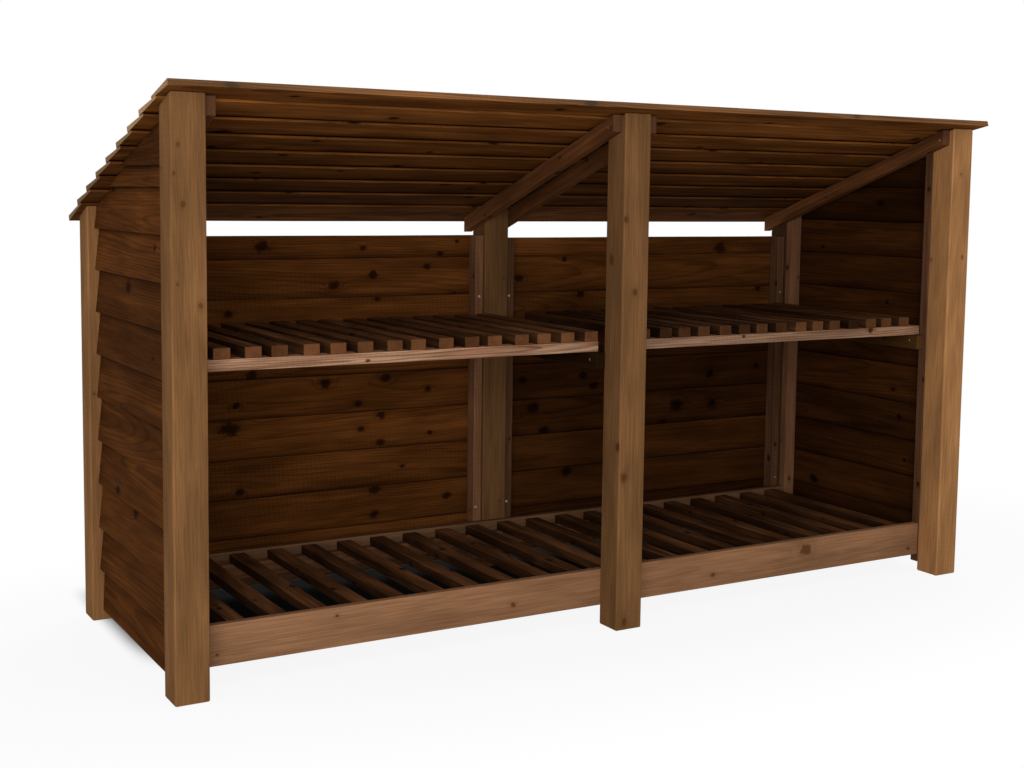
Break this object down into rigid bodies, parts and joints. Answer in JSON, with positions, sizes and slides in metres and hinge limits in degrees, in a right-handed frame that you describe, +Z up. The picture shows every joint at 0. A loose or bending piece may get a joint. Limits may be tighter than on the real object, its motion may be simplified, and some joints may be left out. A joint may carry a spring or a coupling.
{
  "type": "log store",
  "caption": "Open-fronted timber log store with a mono-pitch roof and walls of lapped feather-edge boards on square posts, a slatted floor and a slatted shelf at mid height",
  "frame": {"origin": "on the ground under the middle of the roof's footprint", "axes": "+X along the front to the right, +Y to the back, +Z up; the open front faces -Y"},
  "size_m": [2.27, 0.8296, 1.2659],
  "materials": {
    "post_timber": "rough sawn, pressure treated, matt",
    "rafter_timber": "rough sawn, pressure treated, matt",
    "roof_boarding": "rough sawn, pressure treated, matt",
    "wall_boarding": "rough sawn, pressure treated, matt",
    "batten_timber": "rough sawn, pressure treated, matt",
    "floor_rail_timber": "rough sawn, pressure treated, matt",
    "shelf_rail_timber": "rough sawn, pressure treated, matt",
    "slat_timber": "rough sawn, pressure treated, matt"
  },
  "bodies": {
    "root": {"front_left_post": "post_timber", "front_centre_post": "post_timber", "front_right_post": "post_timber", "back_left_post": "post_timber", "back_centre_post": "post_timber", "back_right_post": "post_timber", "left_rafter": "rafter_timber", "centre_left_rafter": "rafter_timber", "centre_right_rafter": "rafter_timber", "right_rafter": "rafter_timber", "roof_front_board": "roof_boarding", "roof_boards": "roof_boarding", "left_side_boards": "wall_boarding", "right_side_boards": "wall_boarding", "left_back_boards": "wall_boarding", "right_back_boards": "wall_boarding", "left_side_front_batten": "batten_timber", "left_side_rear_batten": "batten_timber", "right_side_front_batten": "batten_timber", "right_side_rear_batten": "batten_timber", "left_back_battens": "batten_timber", "right_back_battens": "batten_timber", "front_floor_ledger": "batten_timber", "rear_floor_ledger": "batten_timber", "left_shelf_bearer": "batten_timber", "centre_left_shelf_bearer": "batten_timber", "centre_right_shelf_bearer": "batten_timber", "right_shelf_bearer": "batten_timber", "front_floor_rail": "floor_rail_timber", "rear_floor_rail": "floor_rail_timber", "left_front_shelf_rail": "shelf_rail_timber", "left_rear_shelf_rail": "shelf_rail_timber", "right_front_shelf_rail": "shelf_rail_timber", "right_rear_shelf_rail": "shelf_rail_timber", "floor_slats": "slat_timber", "left_shelf_slats": "slat_timber", "right_shelf_slats": "slat_timber"}
  },
  "joints": []
}
